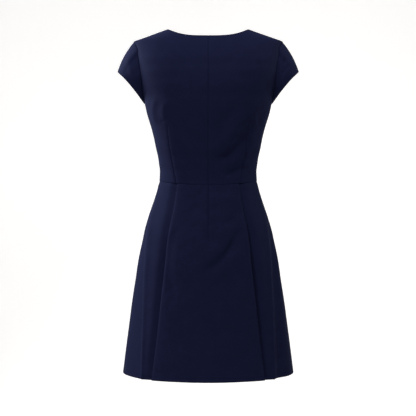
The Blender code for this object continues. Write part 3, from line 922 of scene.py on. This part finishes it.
def skirt_row(face, down, centre_x, side, creases, seed):
    """One row of a right half skirt: centre panel, knife pleat, side panel."""
    line, z = skirt_section(face, down, side, creases, seed)
    length = run_length(line)
    normal = side_normals(line, face)
    slack = PLEAT["slack"](z)
    bend = FOLD_BEND + slack / 2
    fold = np.interp(PLEAT["fold"](z), line[:, 0], length) - bend
    back_fold = fold - PLEAT["underlay"](z)
    first = 2 * bend
    second = first + slack
    start = np.interp(centre_x, line[:, 0], length)
    edge = fold + bend
    turn = np.linspace(0, math.pi, FOLD_STEPS + 1)[1:]
    steps = np.linspace(0, 1, LAYER_STEPS + 1)[1:]
    panel = edge + stations(length[-1] - edge, PANEL_COLUMNS, False, True)[1:]
    behind = back_fold + (edge - back_fold) * steps
    drop = own("drop", face, side) * PLEAT["gape"](z)
    outward = own("drop_width", face, side)
    along = np.concatenate([
        start + stations(fold - start, CENTRE_COLUMNS, face == BACK, False),
        fold + bend * np.sin(turn),
        fold + (back_fold - fold) * steps,
        back_fold - slack / 2 * np.sin(turn),
        behind,
        panel])
    centre_count = CENTRE_COLUMNS + 1 + (len(EDGE_LOOPS) if face == BACK else 0)
    under = np.concatenate([
        np.zeros(centre_count),
        bend * (1 - np.cos(turn)),
        np.full(LAYER_STEPS, first),
        first + slack / 2 * (1 - np.cos(turn)),
        second + drop * hump(behind, edge, DROP_INWARD),
        second * (1 - smooth_step((panel - edge) / RECOVER)) + drop * hump(panel, edge, outward)])
    inside = np.clip(1 - (edge - along) / FOLD_ROLL_WIDTH, 0, 1) ** 2
    outside = hump(along, edge, outward)
    under += FOLD_ROLL * PLEAT["gape"](z) * np.where(along < edge, inside, outside)
    here = np.stack([np.interp(along, length, line[:, i]) for i in range(3)], axis=-1)
    way = unit(np.stack([np.interp(along, length, normal[:, i]) for i in range(3)], axis=-1))
    return here - under[:, None] * way


print("a pleat has", 2 * (FOLD_STEPS + LAYER_STEPS), "steps in each row")

# %% Skirt pieces
SKIRT_ROWS = 112
SKIRT_HEM_TURN = 11
# The side seams' folds bulge until they meet. Within the hem, from this share of the way down,
# the two edges meet instead.
SKIRT_SIDE_PUSH = 0.0011
HEM_PART = 0.925
HEM_PART_FADE = 0.012
SKIRT_EDGES = (SEAM_TURN, SKIRT_HEM_TURN, SEAM_TURN, SEAM_TURN)
SKIRT_PUSH = (SEAM_PUSH, HEM_PUSH, SKIRT_SIDE_PUSH, SKIRT_SIDE_PUSH)
BACK_SKIRT_SEED = 11
FRONT_SKIRT_SEED = 13


def skirt_half(face, centre_x, side, creases, seed):
    """Rows of outer points of a half skirt, from the waist down."""
    drop = WAIST_SIDE - HEM
    levels = stations(drop, SKIRT_ROWS, True, True) / drop
    outer = np.array([skirt_row(face, down, centre_x, side, creases, seed) for down in levels])
    outer[:, 0, 0] = centre_x
    outer[:, -1, 1] = face * SEAM / 2 * (1 - smooth_step((levels - HEM_PART) / HEM_PART_FADE))
    outer[0, :, 2] -= SEAM / 2
    return outer


def skirt_sheet(face, creases, seed):
    centre_x = SEAM / 2 if face == BACK else 0.0
    right = skirt_half(face, centre_x, 1.0, creases, seed)
    left = mirrored(skirt_half(face, centre_x, -1.0, creases, seed))
    sheet = np.concatenate([left, right if face == BACK else right[:, 1:]], axis=1)
    return sheet, normals_of(sheet) * -face


def pleat_columns(wide):
    """The columns that lie folded under, on both sides."""
    first = len(EDGE_LOOPS) + PANEL_COLUMNS + 1
    count = 2 * FOLD_STEPS + 2 * LAYER_STEPS
    left = list(range(first - 1, first + count))
    return left + [wide - 2 - column for column in left]


def skirt_holes(face):
    """The faces left out: the waist's allowance within the pleats, and the zip's slit."""
    def holes(pads, rows, wide):
        found = [(row, column) for row in range(pads[0]) for column in pleat_columns(wide)]
        if face == BACK:
            slit = sum(1 for row in back_skirt if row[wide // 2, 2] > SLIT_END)
            found += [(row, wide // 2 - 1) for row in range(pads[0] + slit)]
        return [(row, column + pads[2]) for row, column in found]
    return holes


back_skirt, back_skirt_normal = skirt_sheet(BACK, BACK_SKIRT_CREASES, BACK_SKIRT_SEED)
front_skirt, front_skirt_normal = skirt_sheet(FRONT, FRONT_SKIRT_CREASES, FRONT_SKIRT_SEED)
skirt_back = cloth_object("skirt_back_cloth", back_skirt, back_skirt_normal, SKIRT_EDGES,
                          SKIRT_PUSH, skirt_holes(BACK))
skirt_front = cloth_object("skirt_front_cloth", front_skirt, front_skirt_normal, SKIRT_EDGES,
                           SKIRT_PUSH, skirt_holes(FRONT))

# %% [markdown]
# ## The zip
#
# A concealed zip has its tapes and teeth on the inside, so that from outside the centre back
# looks like a plain seam. The tape is a strip along the inside of that seam, and its coil is
# two thin rolls down the middle of it.

# %% Zip tape
ZIP_WIDTH = 0.024
ZIP_THICK = 0.0006
ZIP_INSIDE = 0.0021
ZIP_BELOW_SLIT = 0.012
ZIP_BELOW_NECK = 0.0008
ZIP_ROWS = 90
ZIP_COLUMNS = 9


def zip_line(x, count):
    z = np.linspace(SLIT_END - ZIP_BELOW_SLIT, NECK_CENTRE[BACK] - ZIP_BELOW_NECK, count)
    return on_form(np.full(count, x), z, BACK)


tape_x = np.linspace(-ZIP_WIDTH / 2, ZIP_WIDTH / 2, ZIP_COLUMNS)
tape = np.stack([zip_line(x, ZIP_ROWS) for x in tape_x], axis=1)
tape_normal = normals_of(tape) * BACK
tape = tape - ZIP_INSIDE * tape_normal
zip_tape = cloth_object("zip_tape", tape, tape_normal, (0, 0, 0, 0), (0, 0, 0, 0), thick=ZIP_THICK)

# %% Zip coil
COIL_RADIUS = 0.0007
COIL_APART = 0.0018
COIL_SIDES = 8
COIL_ROWS = 240
CLOSE = 0.01


def roll_object(name, centre, radius, sides):
    """A thin round roll along a line of points: a grid, wrapped round it and closed."""
    way = unit(np.gradient(centre, axis=0))
    across = unit(np.cross(way, (1.0, 0.0, 0.0)))
    turn = np.linspace(0, 2 * math.pi, sides + 1)[:, None, None]
    ring = centre + radius * (np.cos(turn) * across + np.sin(turn) * np.cross(across, way))
    bm = bmesh.new()
    bmesh.ops.create_grid(bm, x_segments=len(centre) - 1, y_segments=sides, size=1.0)
    for k, vert in enumerate(bm.verts):
        vert.co = ring[k // len(centre), k % len(centre)]
    bmesh.ops.remove_doubles(bm, verts=bm.verts, dist=radius * CLOSE)
    bmesh.ops.holes_fill(bm, edges=bm.edges, sides=sides)
    bmesh.ops.recalc_face_normals(bm, faces=bm.faces)
    return object_from(bm, name, collection)


coil_line = zip_line(0.0, COIL_ROWS) + (0.0, ZIP_INSIDE + ZIP_THICK + COIL_RADIUS, 0.0)
coils = [roll_object(f"zip_coil_{name}", coil_line + (x, 0.0, 0.0), COIL_RADIUS, COIL_SIDES)
         for name, x in (("left", -COIL_APART / 2), ("right", COIL_APART / 2))]
print("zip tape and", len(coils), "coils,", round(float(run_length(coil_line)[-1]), 3), "m long")

# %% [markdown]
# ## Cloth finish
#
# The cloth is a matt crepe in very dark navy. Crepe is woven of tightly twisted threads, which
# give it a fine pebbled face, and a thin haze of fibre ends that lightens it at grazing angles.
# The pebble is a bump measured in metres along the cloth, and the haze is the shader's sheen.

# %% Crepe weave, a shader node group
WEAVE_TEXTURES = (
    # name, node, values
    ("pebble", "ShaderNodeTexVoronoi", {"Scale": 1500.0, "Randomness": 0.8}),
    ("thread", "ShaderNodeTexNoise", {"Scale": 700.0, "Detail": 3.0}),
    ("patch", "ShaderNodeTexNoise", {"Scale": 38.0, "Detail": 4.0}),
    ("fine", "ShaderNodeTexNoise", {"Scale": 210.0, "Detail": 3.0}),
)
SHADE_RANGE = {"From Min": 0.7, "From Max": 1.3, "To Min": 0.91, "To Max": 1.09}


def crepe_group():
    """Pebbled weave: a height for bumps, and a soft unevenness of shade about 1."""
    group = bpy.data.node_groups.new("crepe weave", "ShaderNodeTree")
    relief = group.interface.new_socket("Relief", in_out="INPUT", socket_type="NodeSocketFloat")
    relief.default_value = 1.0
    for name in ("Height", "Shade"):
        group.interface.new_socket(name, in_out="OUTPUT", socket_type="NodeSocketFloat")
    nodes, links = group.nodes, group.links
    given = nodes.new("NodeGroupInput")
    out = nodes.new("NodeGroupOutput")
    place = nodes.new("ShaderNodeUVMap")
    place.uv_map = "cloth"
    texture = {}
    for name, kind, values in WEAVE_TEXTURES:
        texture[name] = nodes.new(kind)
        for socket, value in values.items():
            texture[name].inputs[socket].default_value = value
        links.new(place.outputs["UV"], texture[name].inputs["Vector"])

    def combined(operation, first, second):
        node = nodes.new("ShaderNodeMath")
        node.operation = operation
        links.new(first, node.inputs[0])
        links.new(second, node.inputs[1])
        return node.outputs[0]

    raised = combined("ADD", texture["pebble"].outputs["Distance"], texture["thread"].outputs["Fac"])
    links.new(combined("MULTIPLY", raised, given.outputs["Relief"]), out.inputs["Height"])
    shade = nodes.new("ShaderNodeMapRange")
    for socket, value in SHADE_RANGE.items():
        shade.inputs[socket].default_value = value
    uneven = combined("ADD", texture["patch"].outputs["Fac"], texture["fine"].outputs["Fac"])
    links.new(uneven, shade.inputs["Value"])
    links.new(shade.outputs["Result"], out.inputs["Shade"])
    return group


CREPE = crepe_group()
print("node group", CREPE.name, "with", len(CREPE.nodes), "nodes")

# %% Cloth materials
PEBBLE_DEPTH = 0.00025
BUMP_STRENGTH = 0.6
SPECULAR = 0.02
SHEEN_ROUGHNESS = 0.25
SHEEN_TINT = (0.36, 0.45, 1.00, 1.0)
NAVY = (0.0062, 0.0079, 0.0256, 1.0)
TAPE_NAVY = (0.0065, 0.0070, 0.0190, 1.0)
COIL_NAVY = (0.0060, 0.0065, 0.0160, 1.0)


def cloth_material(name, colour, roughness, sheen, relief):
    """Matt woven cloth: Principled, with sheen for the fibre ends and a bump for the weave."""
    material = bpy.data.materials.new(name)
    material.use_nodes = True
    nodes, links = material.node_tree.nodes, material.node_tree.links
    shader = nodes["Principled BSDF"]
    shader.inputs["Roughness"].default_value = roughness
    shader.inputs["Metallic"].default_value = 0.0
    shader.inputs["Specular IOR Level"].default_value = SPECULAR
    shader.inputs["Sheen Weight"].default_value = sheen
    shader.inputs["Sheen Roughness"].default_value = SHEEN_ROUGHNESS
    shader.inputs["Sheen Tint"].default_value = SHEEN_TINT
    weave = nodes.new("ShaderNodeGroup")
    weave.node_tree = CREPE
    weave.inputs["Relief"].default_value = relief
    raised = nodes.new("ShaderNodeBump")
    raised.inputs["Strength"].default_value = BUMP_STRENGTH
    raised.inputs["Distance"].default_value = PEBBLE_DEPTH
    links.new(weave.outputs["Height"], raised.inputs["Height"])
    links.new(raised.outputs["Normal"], shader.inputs["Normal"])
    tint = nodes.new("ShaderNodeMix")
    tint.data_type = "RGBA"
    tint.blend_type = "MULTIPLY"
    tint.inputs["Factor"].default_value = 1.0
    tint.inputs[6].default_value = colour
    links.new(weave.outputs["Shade"], tint.inputs[7])
    links.new(tint.outputs[2], shader.inputs["Base Color"])
    return material


crepe = cloth_material("navy crepe", NAVY, 0.85, 0.020, 1.0)
tape_cloth = cloth_material("navy zip tape", TAPE_NAVY, 0.70, 0.10, 0.24)
coil_plastic = cloth_material("navy zip coil", COIL_NAVY, 0.40, 0.0, 0.0)
for obj in (bodice_back_left, bodice_back_right, bodice_front, sleeve_left, sleeve_right,
            skirt_back, skirt_front):
    obj.data.materials.append(crepe)
zip_tape.data.materials.append(tape_cloth)
for coil in coils:
    coil.data.materials.append(coil_plastic)
print("materials", [m.name for m in (crepe, tape_cloth, coil_plastic)])

# %% [markdown]
# ## What stands for what
#
# Each sheet rides on the one rigid body, and the frame's own wall in its place is hidden. The
# table also lists each sheet's slot, the size of the cloth it was cut from and how it is held,
# but nothing here reads them.

# %% Riding, standing in and cut sizes
BACK_BODICES = ["bodice_back_left", "bodice_back_right"]
FRONT_BODICE = ["bodice_front"]
BACK_CUT = ("bodice_cloth", (0.240, 0.430), 0.096, "stretched", [])
SLEEVE_CUT = ("sleeve_cloth", (0.440, 0.115), 0.025, "stretched", [])
PIECES = (
    # object, frame's node, slot, cut width and length, cut area, how it is held, hangs from
    (bodice_back_left, "back_bodice_left", *BACK_CUT),
    (bodice_back_right, "back_bodice_right", *BACK_CUT),
    (bodice_front, "front_bodice", "bodice_cloth", (0.500, 0.450), 0.173, "stretched", []),
    (sleeve_left, "sleeve_left", *SLEEVE_CUT),
    (sleeve_right, "sleeve_right", *SLEEVE_CUT),
    (skirt_back, "skirt_back", "skirt_cloth", (0.780, 0.560), 0.348, "hung", BACK_BODICES),
    (skirt_front, "skirt_front", "skirt_cloth", (0.780, 0.560), 0.346, "hung", FRONT_BODICE),
)
for obj, node, slot, flat, area, held, hangs_from in PIECES:
    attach(obj, BODY)
    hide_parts(node)
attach(zip_tape, BODY)
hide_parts("zip")
for coil in coils:
    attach(coil, BODY)
print(len(PIECES) + 1 + len(coils), "pieces ride on", BODY)

# %% [markdown]
# ## Backdrop
#
# A studio sweep is one sheet of pale paper: floor, curve and wall with no corner to see. It
# glows a little, so that it stays nearly white behind cloth this dark without more light on
# the dress.

# %% Backdrop
# Its side view, in metres: y where the floor starts and the curve starts, the curve's radius
FLOOR = -1.40
FLOOR_START = -4.0
CURVE_START = 2.2
CURVE_RADIUS = 1.2
CURVE_STEPS = 16
WALL_TOP = 5.0
HALF_SWEEP = 1.7
SWEEP_COLUMNS = 3
PAPER = {
    "Base Color": (0.93, 0.92, 0.91, 1.0),
    "Roughness": 1.0,
    "Specular IOR Level": 0.0,
    "Emission Color": (1.0, 0.99, 0.98, 1.0),
    "Emission Strength": 0.50,
}


def backdrop():
    """A pale sweep: floor, curve and wall in one sheet, extruded sideways as a grid."""
    turn = np.linspace(0, math.pi / 2, CURVE_STEPS)
    curve = np.stack([CURVE_START + CURVE_RADIUS * np.sin(turn),
                      FLOOR + CURVE_RADIUS * (1 - np.cos(turn))], axis=-1)
    profile = np.concatenate([[[FLOOR_START, FLOOR]], curve, [[CURVE_START + CURVE_RADIUS, WALL_TOP]]])
    x = np.linspace(-HALF_SWEEP, HALF_SWEEP, SWEEP_COLUMNS)
    bm = bmesh.new()
    bmesh.ops.create_grid(bm, x_segments=SWEEP_COLUMNS - 1, y_segments=len(profile) - 1, size=1.0)
    for k, vert in enumerate(bm.verts):
        row, column = divmod(k, SWEEP_COLUMNS)
        vert.co = (x[column], *profile[row])
    paint = bpy.data.materials.new("backdrop paper")
    paint.use_nodes = True
    for socket, value in PAPER.items():
        paint.node_tree.nodes["Principled BSDF"].inputs[socket].default_value = value
    obj = object_from(bm, "backdrop", bpy.context.scene.collection)
    obj.data.materials.append(paint)
    return obj


sweep = backdrop()
print("backdrop", [round(side, 2) for side in sweep.dimensions], "m")

# %% [markdown]
# ## Light
#
# Very dark cloth shows its form only where a soft lamp skims it. The main lamp stands high on
# the left, so the left side of each fold is lightest. Two small lamps level with the dress,
# just behind it, draw a thin light edge down its sides, stronger on the left. A lamp overhead
# lights the shoulders, and a weak one beside the camera opens the darkest folds. The world
# adds a little light from everywhere.

# %% Lamps and world
AIM = np.array([0.0, 0.0, -0.34])
LAMPS = (
    # name, turn and rise in degrees, distance and width in metres, watts
    ("front lamp", 0, 10, 3.2, 1.0, 6.0),
    ("main lamp", -40, 50, 3.2, 1.0, 52.0),
    ("left edge lamp", -106, 26, 1.3, 0.4, 36.0),
    ("right edge lamp", 105, 26, 1.3, 0.4, 9.0),
    ("top lamp", 18, 70, 1.5, 0.5, 13.0),
)
WORLD_STRENGTH = 0.13


def lamp(name, turn, rise, distance, width, watts):
    """A square soft lamp aimed at the dress; turn 0 is the camera's side, -90 is its left."""
    turn, rise = math.radians(turn), math.radians(rise)
    away = np.array([math.sin(turn) * math.cos(rise), -math.cos(turn) * math.cos(rise),
                     math.sin(rise)])
    data = bpy.data.lights.new(name, "AREA")
    data.shape = "SQUARE"
    data.size = width
    data.energy = watts
    obj = bpy.data.objects.new(name, data)
    obj.location = AIM + distance * away
    obj.rotation_euler = (math.pi / 2 - rise, 0.0, math.atan2(away[1], away[0]) + math.pi / 2)
    bpy.context.scene.collection.objects.link(obj)


for row in LAMPS:
    lamp(*row)
world = bpy.data.worlds.new("studio")
world.use_nodes = True
world.node_tree.nodes["Background"].inputs["Color"].default_value = (1.0, 1.0, 1.0, 1.0)
world.node_tree.nodes["Background"].inputs["Strength"].default_value = WORLD_STRENGTH
bpy.context.scene.world = world
bpy.context.scene.view_settings.view_transform = "Standard"
print(len(LAMPS), "lamps,", sum(row[-1] for row in LAMPS), "watts in all")

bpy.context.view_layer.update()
